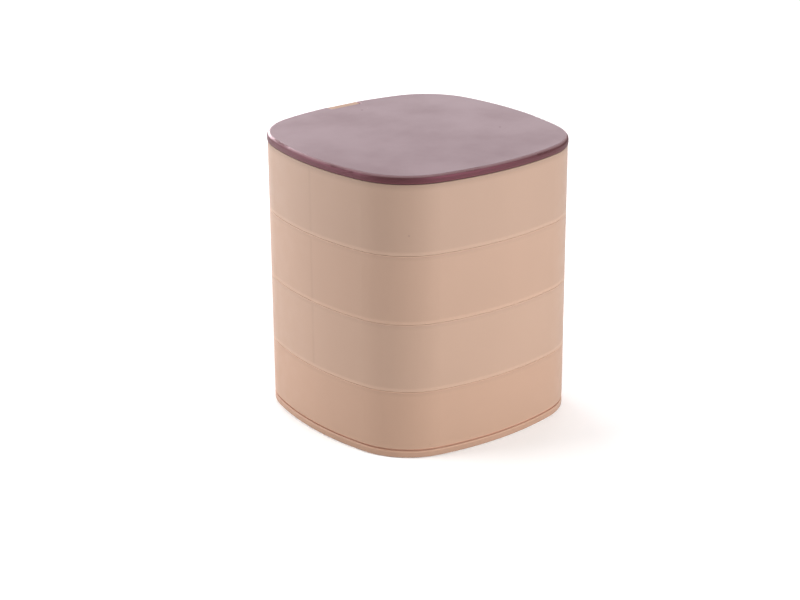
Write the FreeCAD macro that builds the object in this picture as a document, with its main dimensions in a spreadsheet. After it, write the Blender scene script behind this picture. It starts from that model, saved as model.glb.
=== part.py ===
"""Jewellery box of four stacked trays with a flip-up mirror lid.

The bottom tray stands on a snapped and screwed base cover and carries a steel
rod in its back left corner. The three trays above it turn on that rod, one at
a time. The lid is hinged to the top tray at the middle of its back side.

Frame: millimetres, +Z up, origin under the middle of the box on the surface
that it stands on. -Y is the front, +Y the hinge side of the lid.
"""
import FreeCAD, Part
import math
import os
import Sketcher

V = FreeCAD.Vector

doc = FreeCAD.newDocument("rotating_jewelry_box")

# ---------------------------------------------------------------------------
# Driving dimensions
# ---------------------------------------------------------------------------
DIMENSIONS = [
    # plan outline: four bulged sides, four round corners, all tangent
    ("half_width", 56.0, "centre to the middle of a side, at the lid"),
    ("side_radius", 130.0, "radius of each bulged side"),
    ("corner_radius", 30.0, "radius of each corner"),
    ("tray_inset", 0.2, "trays and base stand this far inside the lid"),
    # heights
    ("total_height", 120.0, "underside of the feet to the top of the lid"),
    ("lid_height", 3.3, "rim of the lid"),
    ("tray_pitch", 29.05, "from one tray to the next"),
    ("seam_level", 29.23, "underside of the third tray"),
    ("seam_gap", 0.12, "running gap between two trays"),
    ("lid_gap", 0.15, "gap under the lid"),
    ("base_bottom", 0.15, "underside of the base cover"),
    ("base_top", 3.1, "top edge of the base cover's rim"),
    ("groove_top", 3.88, "lower edge of the bottom tray's wall"),
    # trays
    ("wall", 2.0, "wall of a tray"),
    ("floor_low", 0.5, "underside recess of a swinging tray"),
    ("floor_top", 2.3, "top of a swinging tray's floor"),
    ("recess_inset", 6.0, "underside recess, in from the outline"),
    ("floor_round", 2.0, "inside round between floor and wall"),
    ("tray_bottom_round", 0.2, "outside round at the foot of a tray"),
    ("tray_rim_round", 0.15, "outside round at the rim of a tray"),
    ("tray_lip_round", 0.4, "inside round at the rim of a tray"),
    ("divider_half", 0.7, "half of a divider's thickness"),
    ("divider_y", -0.9, "middle of the long divider"),
    ("divider_drop", 2.6, "dividers stop this far under the rim"),
    ("divider_tie", 54.7, "end of the long divider, inside the wall"),
    ("cross_tie", 53.3, "end of a cross divider, inside the back wall"),
    ("divider_round", 0.5, "round along the top of a divider"),
    # pivot of the trays
    ("pivot_x", -38.5, "rod, in the back left corner"),
    ("pivot_y", 38.5, "rod, in the back left corner"),
    ("boss_radius", 6.5, "boss in each tray"),
    ("rod_radius", 3.0, "steel rod"),
    ("bore_clearance", 0.05, "running clearance of boss on rod"),
    ("rod_bottom", 8.0, "lower end of the rod"),
    ("rod_top", 112.0, "upper end of the rod"),
    ("shelf_level", 111.2, "shelf in the top tray's boss"),
    ("shelf_radius", 5.0, "counterbore above the shelf"),
    ("spacer_radius", 5.4, "spacer washer between two bosses"),
    ("spacer_bore", 3.15, "spacer washer on the rod"),
    ("spacer_thick", 0.36, "spacer washer"),
    ("spacer_pocket", 0.3, "depth of its pocket in the boss below"),
    ("spacer_pocket_radius", 5.6, "pocket of a spacer washer"),
    ("thread_radius", 1.5, "screws in the ends of the rod"),
    # bottom tray and base cover
    ("neck_inset", 2.6, "neck of the bottom tray, in from the outline"),
    ("waist_inset", 0.9, "bottom of the groove, in from the outline"),
    ("shoulder_gap", 0.05, "shoulder of the neck over the base cover's rim"),
    ("neck_bottom", 2.1, "lower edge of the neck"),
    ("neck_wall", 1.8, "thickness of the neck"),
    ("bottom_floor_low", 5.4, "underside of the bottom tray's floor"),
    ("bottom_floor_top", 7.2, "top of the bottom tray's floor"),
    ("cover_rim", 2.2, "rim of the base cover"),
    ("cover_skin_top", 1.85, "inside face of the base cover"),
    ("cover_bottom_round", 0.35, "round under the rim of the base cover"),
    ("cover_top_round", 0.4, "round on the rim of the base cover"),
    ("post_at", 36.5, "screw posts and feet, along X and Y"),
    ("post_radius", 3.5, "screw post inside the bottom tray"),
    ("post_top", 10.4, "top of the screw post"),
    ("post_round", 1.2, "round on the screw post"),
    ("stub_radius", 3.25, "stub under the bottom tray's floor"),
    ("stub_bottom", 4.25, "lower end of the stub"),
    ("pilot_radius", 1.3, "pilot hole of a cover screw"),
    ("pilot_top", 9.6, "end of the pilot hole"),
    ("cup_radius", 4.7, "screw cup in the base cover"),
    ("cup_top", 4.2, "top of the screw cup"),
    ("well_radius", 3.0, "well for the screw head"),
    ("well_top", 3.2, "seat of the screw head"),
    ("cover_hole", 1.45, "clearance hole of a cover screw"),
    ("foot_radius", 5.5, "rubber foot"),
    ("foot_pocket", 5.7, "recess for a rubber foot"),
    ("foot_top", 1.05, "seat of the rubber foot"),
    ("foot_round", 0.3, "round of the rubber foot"),
    # lid
    ("lid_top_round", 1.5, "round along the top of the lid"),
    ("lid_bottom_round", 0.5, "round along the bottom of the lid"),
    ("lid_skirt", 2.2, "rim wall of the lid"),
    ("lid_skin", 1.5, "top wall of the lid"),
    ("hinge_x", 1.6, "middle of the lid hinge"),
    ("hinge_y", 54.0, "axis of the lid hinge"),
    ("hinge_z", 118.3, "axis of the lid hinge"),
    ("notch_half", 8.0, "half the width of the hinge notch"),
    ("notch_floor", 51.0, "front edge of the hinge notch"),
    ("notch_round", 0.7, "inside corners of the hinge notch"),
    ("notch_edge", 0.3, "round along the upper edge of the hinge notch"),
    ("hinge_gap", 0.25, "gap between the notch and the front of the hinge lug"),
    ("hinge_side_gap", 0.15, "gap between the notch and each end of the hinge lug"),
    ("block_reach", 6.5, "pin block, beyond each side of the notch"),
    ("block_front", 50.2, "front face of the pin blocks"),
    ("block_bottom", 117.3, "underside of the pin blocks"),
    ("pin_radius", 0.75, "hinge pin"),
    ("pin_reach", 5.2, "hinge pin, beyond each side of the notch"),
    ("pin_mouth", 0.62, "half width of the snap mouth of the pin channel"),
    ("heel_radius", 2.0, "back edge of the lid, round about the hinge axis"),
    # hinge lug of the top tray
    ("lug_top", 119.75, "top of the lug"),
    ("lug_back", 55.3, "back face of the lug, inside the wall"),
    ("lug_front_corner", 1.3, "front corners of the lug, in plan"),
    ("lug_top_round", 0.3, "round along the top of the lug"),
    ("knuckle_radius", 2.72, "front of the lug, round about the hinge axis"),
    ("relief_half", 25.0, "half the length of the lowered back rim"),
    ("relief_depth", 0.55, "depth of the lowered back rim"),
    # mirror and its frame
    ("frame_gap", 0.2, "gap round the mirror frame"),
    ("frame_flange", 0.55, "visible flange of the mirror frame"),
    ("frame_height", 1.7, "height of the mirror frame"),
    ("window_inset", 8.6, "opening of the mirror frame"),
    ("mirror_inset", 7.0, "edge of the mirror"),
    ("mirror_thick", 1.0, "mirror"),
    ("tape_inset", 9.5, "edge of the adhesive pad"),
    ("tape_thick", 0.25, "adhesive pad"),
]

sheet = doc.addObject("Spreadsheet::Sheet", "Dimensions")
for row, (alias, value, note) in enumerate(DIMENSIONS, start=1):
    sheet.set("A%d" % row, note)
    sheet.set("B%d" % row, str(value))
    sheet.setAlias("B%d" % row, alias)
doc.recompute()


class Length:
    """A length: its value now, and the expression over the sheet that drives it."""

    def __init__(self, value, text):
        self.value = value
        self.text = text

    @staticmethod
    def of(other):
        return other if isinstance(other, Length) else Length(float(other), repr(float(other)))

    def __add__(self, other):
        other = Length.of(other)
        return Length(self.value + other.value, "(%s + %s)" % (self.text, other.text))

    def __radd__(self, other):
        return Length.of(other) + self

    def __sub__(self, other):
        other = Length.of(other)
        return Length(self.value - other.value, "(%s - %s)" % (self.text, other.text))

    def __rsub__(self, other):
        return Length.of(other) - self

    def __mul__(self, factor):
        return Length(self.value * factor, "(%s * %r)" % (self.text, float(factor)))

    __rmul__ = __mul__

    def __neg__(self):
        return Length(-self.value, "(-1 * %s)" % self.text)


class Sheet:
    """Reads a dimension by its alias."""

    def __getattr__(self, alias):
        for name, value, note in DIMENSIONS:
            if name == alias:
                return Length(value, "Dimensions." + alias)
        raise AttributeError(alias)


D = Sheet()
ZERO = Length(0.0, "0")

tray_height = D.tray_pitch - D.seam_gap
lid_bottom = D.total_height - D.lid_height
top_tray_level = D.seam_level + D.tray_pitch * 2
second_tray_level = D.seam_level + D.tray_pitch
third_tray_level = D.seam_level
bottom_rim = D.seam_level - D.seam_gap
top_tray_height = lid_bottom - D.lid_gap - top_tray_level

# ---------------------------------------------------------------------------
# The plan outline
# ---------------------------------------------------------------------------
BULGE = D.side_radius.value - D.half_width.value
CORNER = -BULGE / 2 + math.sqrt(
    BULGE**2 / 4 + ((D.side_radius.value - D.corner_radius.value) ** 2 - BULGE**2) / 2
)
TURN = math.atan2(CORNER, CORNER + BULGE)


def outline_offset(x, y):
    """Distance of a plan point outside (+) or inside (-) the lid's outline."""
    x, y = abs(x), abs(y)
    if x < y:
        x, y = y, x
    if math.atan2(y, x + BULGE) <= TURN:
        return math.hypot(x + BULGE, y) - D.side_radius.value
    return math.hypot(x - CORNER, y - CORNER) - D.corner_radius.value


# ---------------------------------------------------------------------------
# Helpers for sketches and features
# ---------------------------------------------------------------------------
nodes = []


def new_body(name, x=None, y=None, z=None):
    body = doc.addObject("PartDesign::Body", name)
    body.Label = name
    if hasattr(body, "AllowCompound"):
        body.AllowCompound = True
    x, y, z = (Length.of(q if q is not None else ZERO) for q in (x, y, z))
    body.Placement = FreeCAD.Placement(V(x.value, y.value, z.value), FreeCAD.Rotation())
    for axis, q in (("x", x), ("y", y), ("z", z)):
        if q.text not in ("0", "0.0"):
            body.setExpression("Placement.Base." + axis, q.text)
    nodes.append(body)
    return body


def new_sketch(body, name, plane="XY_Plane", at=ZERO):
    sketch = body.newObject("Sketcher::SketchObject", name)
    origin_plane = [f for f in body.Origin.OriginFeatures if f.Role == plane][0]
    sketch.AttachmentSupport = [(origin_plane, "")]
    sketch.MapMode = "FlatFace"
    if at.text != "0":
        sketch.AttachmentOffset = FreeCAD.Placement(V(0, 0, at.value), FreeCAD.Rotation())
        sketch.setExpression("AttachmentOffset.Base.z", at.text)
    sketch.Visibility = False
    return sketch


def dimension(sketch, constraint, name, length):
    index = sketch.addConstraint(constraint)
    sketch.renameConstraint(index, name)
    sketch.setExpression("Constraints." + name, length.text)


def place_point(sketch, geo, pos, x, y, tag):
    """Dimensions a point of the sketch from the sketch's origin."""
    for kind, q, axis in (("DistanceX", x, -2), ("DistanceY", y, -1)):
        q = Length.of(q)
        name = "%s_%s" % (tag, kind[-1].lower())
        if abs(q.value) < 1e-9:
            sketch.addConstraint(Sketcher.Constraint("PointOnObject", geo, pos, axis))
        elif q.value > 0:
            dimension(sketch, Sketcher.Constraint(kind, -1, 1, geo, pos, q.value), name, q)
        else:
            dimension(sketch, Sketcher.Constraint(kind, geo, pos, -1, 1, -q.value), name, -q)


def circle(sketch, x, y, radius, tag):
    x, y, radius = Length.of(x), Length.of(y), Length.of(radius)
    geo = sketch.addGeometry(
        Part.Circle(V(x.value, y.value, 0), V(0, 0, 1), radius.value), False
    )
    dimension(sketch, Sketcher.Constraint("Radius", geo, radius.value), tag + "_radius", radius)
    place_point(sketch, geo, 3, x, y, tag)
    return geo


def polygon(sketch, points, tag):
    points = [(Length.of(x), Length.of(y)) for x, y in points]
    count = len(points)
    first = None
    for i in range(count):
        (x0, y0), (x1, y1) = points[i], points[(i + 1) % count]
        geo = sketch.addGeometry(
            Part.LineSegment(V(x0.value, y0.value, 0), V(x1.value, y1.value, 0)), False
        )
        if first is None:
            first = geo
    for i in range(count):
        sketch.addConstraint(
            Sketcher.Constraint("Coincident", first + i, 2, first + (i + 1) % count, 1)
        )
    for i, (x, y) in enumerate(points):
        place_point(sketch, first + i, 1, x, y, "%s_p%d" % (tag, i))


def rectangle(sketch, x0, y0, x1, y1, tag):
    polygon(sketch, [(x0, y0), (x1, y0), (x1, y1), (x0, y1)], tag)


def rounded_block(sketch, x0, y0, x1, y1, front, back):
    """Rectangle with round front (low y) and back (high y) corners."""
    a, b, c, d, rf, rb = (q.value for q in (x0, y0, x1, y1, front, back))
    quarter = math.pi / 2
    for kind, data in (
        ("line", (a + rf, b, c - rf, b)),
        ("arc", (c - rf, b + rf, rf, -quarter, 0.0)),
        ("line", (c, b + rf, c, d - rb)),
        ("arc", (c - rb, d - rb, rb, 0.0, quarter)),
        ("line", (c - rb, d, a + rb, d)),
        ("arc", (a + rb, d - rb, rb, quarter, 2 * quarter)),
        ("line", (a, d - rb, a, b + rf)),
        ("arc", (a + rf, b + rf, rf, 2 * quarter, 3 * quarter)),
    ):
        if kind == "line":
            shape = Part.LineSegment(V(data[0], data[1], 0), V(data[2], data[3], 0))
        else:
            shape = Part.ArcOfCircle(
                Part.Circle(V(data[0], data[1], 0), V(0, 0, 1), data[2]), data[3], data[4]
            )
        sketch.addGeometry(shape, False)
    for geo in range(8):
        sketch.addConstraint(Sketcher.Constraint("Tangent", geo, 2, (geo + 1) % 8, 1))
    for kind, geo in (("Horizontal", 0), ("Vertical", 2), ("Horizontal", 4), ("Vertical", 6)):
        sketch.addConstraint(Sketcher.Constraint(kind, geo))
    sketch.addConstraint(Sketcher.Constraint("Equal", 1, 7))
    sketch.addConstraint(Sketcher.Constraint("Equal", 3, 5))
    dimension(sketch, Sketcher.Constraint("Radius", 1, rf), "front_radius", front)
    dimension(sketch, Sketcher.Constraint("Radius", 3, rb), "back_radius", back)
    dimension(sketch, Sketcher.Constraint("DistanceY", -1, 1, 0, 1, b), "front_line", y0)
    dimension(sketch, Sketcher.Constraint("DistanceX", -1, 1, 2, 1, c), "right_line", x1)
    dimension(sketch, Sketcher.Constraint("DistanceY", -1, 1, 4, 1, d), "back_line", y1)
    dimension(sketch, Sketcher.Constraint("DistanceX", 6, 1, -1, 1, -a), "left_line", -x0)


def outline(sketch, inset):
    """Four bulged sides and four round corners, moved inward by inset."""
    inset = Length.of(inset)
    side, corner = D.side_radius - inset, D.corner_radius - inset
    bulge = D.side_radius - D.half_width
    for quarter in range(4):
        turn = quarter * math.pi / 2
        ca, sa = math.cos(turn), math.sin(turn)
        sketch.addGeometry(
            Part.ArcOfCircle(
                Part.Circle(V(-BULGE * ca, -BULGE * sa, 0), V(0, 0, 1), side.value),
                turn - TURN,
                turn + TURN,
            ),
            False,
        )
        sketch.addGeometry(
            Part.ArcOfCircle(
                Part.Circle(
                    V(CORNER * (ca - sa), CORNER * (ca + sa), 0), V(0, 0, 1), corner.value
                ),
                turn + TURN,
                turn + math.pi / 2 - TURN,
            ),
            False,
        )
    for geo in range(8):
        sketch.addConstraint(Sketcher.Constraint("Tangent", geo, 2, (geo + 1) % 8, 1))
    for geo in (2, 4, 6):
        sketch.addConstraint(Sketcher.Constraint("Equal", 0, geo))
        sketch.addConstraint(Sketcher.Constraint("Equal", 1, geo + 1))
    sketch.addConstraint(Sketcher.Constraint("PointOnObject", 0, 3, -1))
    sketch.addConstraint(Sketcher.Constraint("PointOnObject", 4, 3, -1))
    sketch.addConstraint(Sketcher.Constraint("PointOnObject", 2, 3, -2))
    sketch.addConstraint(Sketcher.Constraint("PointOnObject", 6, 3, -2))
    dimension(sketch, Sketcher.Constraint("Radius", 0, side.value), "side_radius", side)
    dimension(sketch, Sketcher.Constraint("Radius", 1, corner.value), "corner_radius", corner)
    dimension(sketch, Sketcher.Constraint("DistanceX", 0, 3, -1, 1, BULGE), "bulge_right", bulge)
    dimension(sketch, Sketcher.Constraint("DistanceX", -1, 1, 4, 3, BULGE), "bulge_left", bulge)
    dimension(sketch, Sketcher.Constraint("DistanceY", 2, 3, -1, 1, BULGE), "bulge_back", bulge)
    dimension(sketch, Sketcher.Constraint("DistanceY", -1, 1, 6, 3, BULGE), "bulge_front", bulge)


def volume(body):
    return body.Shape.Volume if not body.Shape.isNull() else 0.0


def pad(body, sketch, length, name, down=False):
    length = Length.of(length)
    doc.recompute()
    before = volume(body)
    feature = body.newObject("PartDesign::Pad", name)
    feature.Profile = sketch
    feature.Length = length.value
    feature.setExpression("Length", length.text)
    feature.Reversed = down
    doc.recompute()
    if not volume(body) > before + 1e-6:
        raise RuntimeError("%s: %s adds nothing" % (body.Name, name))
    return feature


def pocket(body, sketch, length, name, up=False):
    """Cuts against the sketch's normal, or along it with up."""
    length = Length.of(length)
    doc.recompute()
    before = volume(body)
    feature = body.newObject("PartDesign::Pocket", name)
    feature.Profile = sketch
    feature.Length = length.value
    feature.setExpression("Length", length.text)
    feature.Reversed = up
    doc.recompute()
    if not volume(body) < before - 1e-6:
        raise RuntimeError(
            "%s: %s cuts nothing, %s, %s" % (body.Name, name, feature.State, feature.getStatusString())
        )
    return feature


def revolve(body, sketch, name, axis="V_Axis"):
    feature = body.newObject("PartDesign::Revolution", name)
    feature.Profile = sketch
    feature.ReferenceAxis = (sketch, [axis])
    feature.Angle = 360.0
    doc.recompute()
    return feature


def edges_of(body, test):
    shape = body.Tip.Shape
    found = []
    for i, edge in enumerate(shape.Edges, start=1):
        middle = edge.valueAt((edge.FirstParameter + edge.LastParameter) / 2)
        if test(edge, middle):
            found.append("Edge%d" % i)
    return found


def dress(body, kind, size_property, test, size, name, expect=None):
    """Rounds or bevels every edge that passes the test."""
    size = Length.of(size)
    names = edges_of(body, test)
    if not names or (expect is not None and len(names) not in expect):
        raise RuntimeError("%s: %s found %d edges" % (body.Name, name, len(names)))
    base = body.Tip
    feature = body.newObject(kind, name)
    feature.Base = (base, names)
    setattr(feature, size_property, size.value)
    feature.setExpression(size_property, size.text)
    doc.recompute()
    if "Invalid" in feature.State or feature.Shape.isNull():
        raise RuntimeError("%s: %s, %s" % (body.Name, name, feature.getStatusString()))
    return feature


def fillet(body, test, radius, name, expect=None):
    return dress(body, "PartDesign::Fillet", "Radius", test, radius, name, expect)


def chamfer(body, test, size, name, expect=None):
    return dress(body, "PartDesign::Chamfer", "Size", test, size, name, expect)


def level(edge, z, tolerance=1e-3):
    box = edge.BoundBox
    return abs(box.ZMin - z) < tolerance and abs(box.ZMax - z) < tolerance


def on_outline(point, inset, tolerance=0.02):
    return abs(outline_offset(point.x, point.y) + inset) < tolerance


# ---------------------------------------------------------------------------
# Swinging trays
# ---------------------------------------------------------------------------
INSET = D.tray_inset
INNER = D.tray_inset + D.wall


def tray_shell(body, height):
    """Outer wall, floor, inside round and underside recess."""
    sketch = new_sketch(body, body.Name + "_outline")
    outline(sketch, INSET)
    pad(body, sketch, height, body.Name + "_block")
    sketch = new_sketch(body, body.Name + "_hollow_outline", at=height)
    outline(sketch, INNER)
    pocket(body, sketch, height - D.floor_top, body.Name + "_hollow")
    fillet(
        body,
        lambda e, p: level(e, D.floor_top.value) and on_outline(p, INNER.value),
        D.floor_round,
        body.Name + "_floor_round",
        expect=(8,),
    )
    fillet(
        body,
        lambda e, p: level(e, height.value) and on_outline(p, INNER.value),
        D.tray_lip_round,
        body.Name + "_lip_round",
        expect=(8,),
    )
    sketch = new_sketch(body, body.Name + "_recess_outline")
    outline(sketch, D.recess_inset)
    pocket(body, sketch, D.floor_low, body.Name + "_underside_recess", up=True)


def tray_dividers(body, height, cross):
    """A long divider from side to side, and cross dividers from it to the back wall."""
    if cross is None:
        return
    top = height - D.divider_drop
    start = D.floor_top - 0.8
    sketch = new_sketch(body, body.Name + "_long_divider_plan", at=start)
    rectangle(
        sketch,
        -D.divider_tie,
        D.divider_y - D.divider_half,
        D.divider_tie,
        D.divider_y + D.divider_half,
        "long",
    )
    pad(body, sketch, top - start, body.Name + "_long_divider")
    for i, x in enumerate(cross):
        sketch = new_sketch(body, "%s_cross_divider_plan_%d" % (body.Name, i + 1), at=start)
        x = Length.of(x)
        rectangle(
            sketch, x - D.divider_half, D.divider_y, x + D.divider_half, D.cross_tie, "cross"
        )
        pad(body, sketch, top - start, "%s_cross_divider_%d" % (body.Name, i + 1))
    fillet(
        body,
        lambda e, p: level(e, top.value)
        and e.Length > 5
        and math.hypot(p.x - D.pivot_x.value, p.y - D.pivot_y.value) > 7.5,
        D.divider_round,
        body.Name + "_divider_round",
    )


def tray_boss(body, height):
    """Boss on the rod, merged with the corner."""
    start = D.floor_top - 0.8
    sketch = new_sketch(body, body.Name + "_boss_plan", at=start)
    circle(sketch, D.pivot_x, D.pivot_y, D.boss_radius, "boss")
    pad(body, sketch, height - start, body.Name + "_boss")
    # the boss also fills the underside recess round the rod
    sketch = new_sketch(body, body.Name + "_boss_foot_plan")
    circle(sketch, D.pivot_x, D.pivot_y, D.boss_radius, "foot")
    pad(body, sketch, D.floor_top - 0.8, body.Name + "_boss_foot")
    sketch = new_sketch(body, body.Name + "_bore_plan", at=height)
    circle(sketch, D.pivot_x, D.pivot_y, D.rod_radius + D.bore_clearance, "bore")
    pocket(body, sketch, height, body.Name + "_bore")


def tray_edges(body, height, rim):
    fillet(
        body,
        lambda e, p: level(e, 0.0) and on_outline(p, INSET.value),
        D.tray_bottom_round,
        body.Name + "_bottom_round",
        expect=(8,),
    )
    if rim:
        fillet(
            body,
            lambda e, p: level(e, height.value) and on_outline(p, INSET.value),
            D.tray_rim_round,
            body.Name + "_rim_round",
            expect=(8,),
        )


def spacer_pocket(body, rim):
    """Pocket in the top of the boss for the spacer washer of the seam above."""
    sketch = new_sketch(body, body.Name + "_spacer_pocket_plan", at=rim)
    circle(sketch, D.pivot_x, D.pivot_y, D.spacer_pocket_radius, "spacer_pocket")
    pocket(body, sketch, D.spacer_pocket, body.Name + "_spacer_pocket")


def swinging_tray(name, z, height, cross, top=False):
    body = new_body(name, z=z)
    tray_shell(body, height)
    tray_dividers(body, height, cross)
    tray_boss(body, height)
    if not top:
        spacer_pocket(body, height)
    tray_edges(body, height, rim=not top)
    return body


third_tray = swinging_tray("third_tray", third_tray_level, tray_height, [])
second_tray = swinging_tray("second_tray", second_tray_level, tray_height, [4.0])
top_tray = swinging_tray("top_tray", top_tray_level, top_tray_height, [-14.0, 20.0], top=True)

# The top tray's boss is counterbored for the spring, washer, screw and cap.
h_top = top_tray_height
sketch = new_sketch(top_tray, "shelf_plan", at=h_top)
circle(sketch, D.pivot_x, D.pivot_y, D.shelf_radius, "shelf")
pocket(top_tray, sketch, h_top - (D.shelf_level - top_tray_level), "shelf_counterbore")

# Its back rim is lowered where the back edge of the lid turns over it.
sketch = new_sketch(top_tray, "relief_plan", at=h_top)
rectangle(
    sketch,
    D.hinge_x - D.relief_half,
    D.hinge_y - 4.0,
    D.hinge_x + D.relief_half,
    D.half_width + 2.0,
    "relief",
)
pocket(top_tray, sketch, D.relief_depth, "relief")

# Hinge lug: a pilaster on the inside of the back wall that rises into the
# notch of the lid.
lug_half = D.notch_half - D.hinge_side_gap
lug_front = D.notch_floor + D.hinge_gap
lug_low = D.floor_top - 0.8
lug_high = D.lug_top - top_tray_level
sketch = new_sketch(top_tray, "lug_plan", at=lug_low)
rounded_block(
    sketch,
    D.hinge_x - lug_half,
    lug_front,
    D.hinge_x + lug_half,
    D.lug_back,
    D.lug_front_corner,
    D.lug_top_round + 0.05,
)
pad(top_tray, sketch, lug_high - lug_low, "lug")


def near(value, target, tolerance=0.02):
    return abs(value - target) < tolerance


fillet(
    top_tray,
    lambda e, p: level(e, lug_high.value),
    D.lug_top_round,
    "lug_top_round",
    expect=(8,),
)
# the upper front edge of the lug is round about the hinge axis
sketch = new_sketch(top_tray, "knuckle_section", plane="YZ_Plane", at=D.hinge_x - D.notch_half - 1.0)
knuckle_z = D.hinge_z - top_tray_level
ky, kz, kr = D.hinge_y.value, knuckle_z.value, D.knuckle_radius.value
arc = sketch.addGeometry(
    Part.ArcOfCircle(Part.Circle(V(ky, kz, 0), V(0, 0, 1), kr), math.pi / 2, math.pi), False
)
corners = [(ky - kr, kz), (ky - 4, kz), (ky - 4, kz + 4), (ky, kz + 4), (ky, kz + kr)]
lines = []
for (x0, y0), (x1, y1) in zip(corners, corners[1:]):
    lines.append(sketch.addGeometry(Part.LineSegment(V(x0, y0, 0), V(x1, y1, 0)), False))
sketch.addConstraint(Sketcher.Constraint("Coincident", arc, 2, lines[0], 1))
for a, b in zip(lines, lines[1:]):
    sketch.addConstraint(Sketcher.Constraint("Coincident", a, 2, b, 1))
sketch.addConstraint(Sketcher.Constraint("Coincident", lines[3], 2, arc, 1))
sketch.addConstraint(Sketcher.Constraint("Horizontal", lines[0]))
sketch.addConstraint(Sketcher.Constraint("Vertical", lines[1]))
sketch.addConstraint(Sketcher.Constraint("Horizontal", lines[2]))
sketch.addConstraint(Sketcher.Constraint("Vertical", lines[3]))
sketch.addConstraint(Sketcher.Constraint("PointOnObject", arc, 3, lines[3]))
sketch.addConstraint(Sketcher.Constraint("PointOnObject", arc, 3, lines[0]))
dimension(sketch, Sketcher.Constraint("Radius", arc, kr), "knuckle_radius", D.knuckle_radius)
place_point(sketch, arc, 3, D.hinge_y, knuckle_z, "knuckle_axis")
place_point(sketch, lines[1], 2, D.hinge_y - 4.0, knuckle_z + 4.0, "knuckle_far")
pocket(top_tray, sketch, D.notch_half * 2 + 2.0, "knuckle", up=True)
sketch = new_sketch(top_tray, "pin_bore_section", plane="YZ_Plane", at=D.hinge_x - D.notch_half - 1.0)
circle(sketch, D.hinge_y, D.hinge_z - top_tray_level, D.pin_radius + D.bore_clearance, "pin_bore")
pocket(top_tray, sketch, D.notch_half * 2 + 2.0, "pin_bore", up=True)

# ---------------------------------------------------------------------------
# Bottom tray: the fixed tier, with a neck that plugs into the base cover
# ---------------------------------------------------------------------------
bottom_tray = new_body("bottom_tray")
sketch = new_sketch(bottom_tray, "bottom_outline", at=D.groove_top)
outline(sketch, INSET)
pad(bottom_tray, sketch, bottom_rim - D.groove_top, "bottom_block")
sketch = new_sketch(bottom_tray, "waist_outline", at=D.base_top + D.shoulder_gap)
outline(sketch, D.waist_inset)
pad(bottom_tray, sketch, D.groove_top - D.base_top - D.shoulder_gap + 0.5, "waist")
sketch = new_sketch(bottom_tray, "neck_outline", at=D.neck_bottom)
outline(sketch, D.neck_inset)
pad(bottom_tray, sketch, D.groove_top - D.neck_bottom + 0.5, "neck")
sketch = new_sketch(bottom_tray, "bottom_hollow_outline", at=bottom_rim)
outline(sketch, INNER)
pocket(bottom_tray, sketch, bottom_rim - D.bottom_floor_top, "bottom_hollow")
fillet(
    bottom_tray,
    lambda e, p: level(e, D.bottom_floor_top.value) and on_outline(p, INNER.value),
    D.floor_round,
    "bottom_floor_round",
    expect=(8,),
)
fillet(
    bottom_tray,
    lambda e, p: level(e, bottom_rim.value) and on_outline(p, INNER.value),
    D.tray_lip_round,
    "bottom_lip_round",
    expect=(8,),
)
sketch = new_sketch(bottom_tray, "under_outline", at=D.neck_bottom)
outline(sketch, D.neck_inset + D.neck_wall)
pocket(bottom_tray, sketch, D.bottom_floor_low - D.neck_bottom, "under_hollow", up=True)

# boss that holds the rod
sketch = new_sketch(bottom_tray, "bottom_boss_plan", at=D.bottom_floor_low)
circle(sketch, D.pivot_x, D.pivot_y, D.boss_radius, "boss")
pad(bottom_tray, sketch, bottom_rim - D.bottom_floor_low, "bottom_boss")
sketch = new_sketch(bottom_tray, "rod_seat_plan", at=bottom_rim)
circle(sketch, D.pivot_x, D.pivot_y, D.rod_radius, "rod_seat")
pocket(bottom_tray, sketch, bottom_rim - D.rod_bottom, "rod_seat")
sketch = new_sketch(bottom_tray, "rod_screw_plan", at=D.rod_bottom)
circle(sketch, D.pivot_x, D.pivot_y, D.thread_radius + 0.1, "rod_screw")
pocket(bottom_tray, sketch, D.rod_bottom - D.bottom_floor_low, "rod_screw_hole")
spacer_pocket(bottom_tray, bottom_rim)

# screw posts in the other three corners
POSTS = [(-1, -1), (1, -1), (1, 1)]
for i, (sx, sy) in enumerate(POSTS, start=1):
    sketch = new_sketch(bottom_tray, "post_plan_%d" % i, at=D.bottom_floor_low + 0.4)
    circle(sketch, D.post_at * sx, D.post_at * sy, D.post_radius, "post")
    pad(bottom_tray, sketch, D.post_top - D.bottom_floor_low - 0.4, "post_%d" % i)
    sketch = new_sketch(bottom_tray, "stub_plan_%d" % i, at=D.stub_bottom)
    circle(sketch, D.post_at * sx, D.post_at * sy, D.stub_radius, "stub")
    pad(bottom_tray, sketch, D.bottom_floor_low - D.stub_bottom + 0.4, "stub_%d" % i)
fillet(
    bottom_tray,
    lambda e, p: level(e, D.post_top.value),
    D.post_round,
    "post_round",
    expect=(3,),
)
for i, (sx, sy) in enumerate(POSTS, start=1):
    sketch = new_sketch(bottom_tray, "pilot_plan_%d" % i, at=D.stub_bottom)
    circle(sketch, D.post_at * sx, D.post_at * sy, D.pilot_radius, "pilot")
    pocket(bottom_tray, sketch, D.pilot_top - D.stub_bottom, "pilot_%d" % i, up=True)
fillet(
    bottom_tray,
    lambda e, p: level(e, D.groove_top.value) and on_outline(p, INSET.value),
    D.tray_bottom_round,
    "bottom_tray_round",
    expect=(8,),
)
fillet(
    bottom_tray,
    lambda e, p: level(e, bottom_rim.value) and on_outline(p, INSET.value),
    D.tray_rim_round,
    "bottom_rim_round",
    expect=(8,),
)

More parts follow.
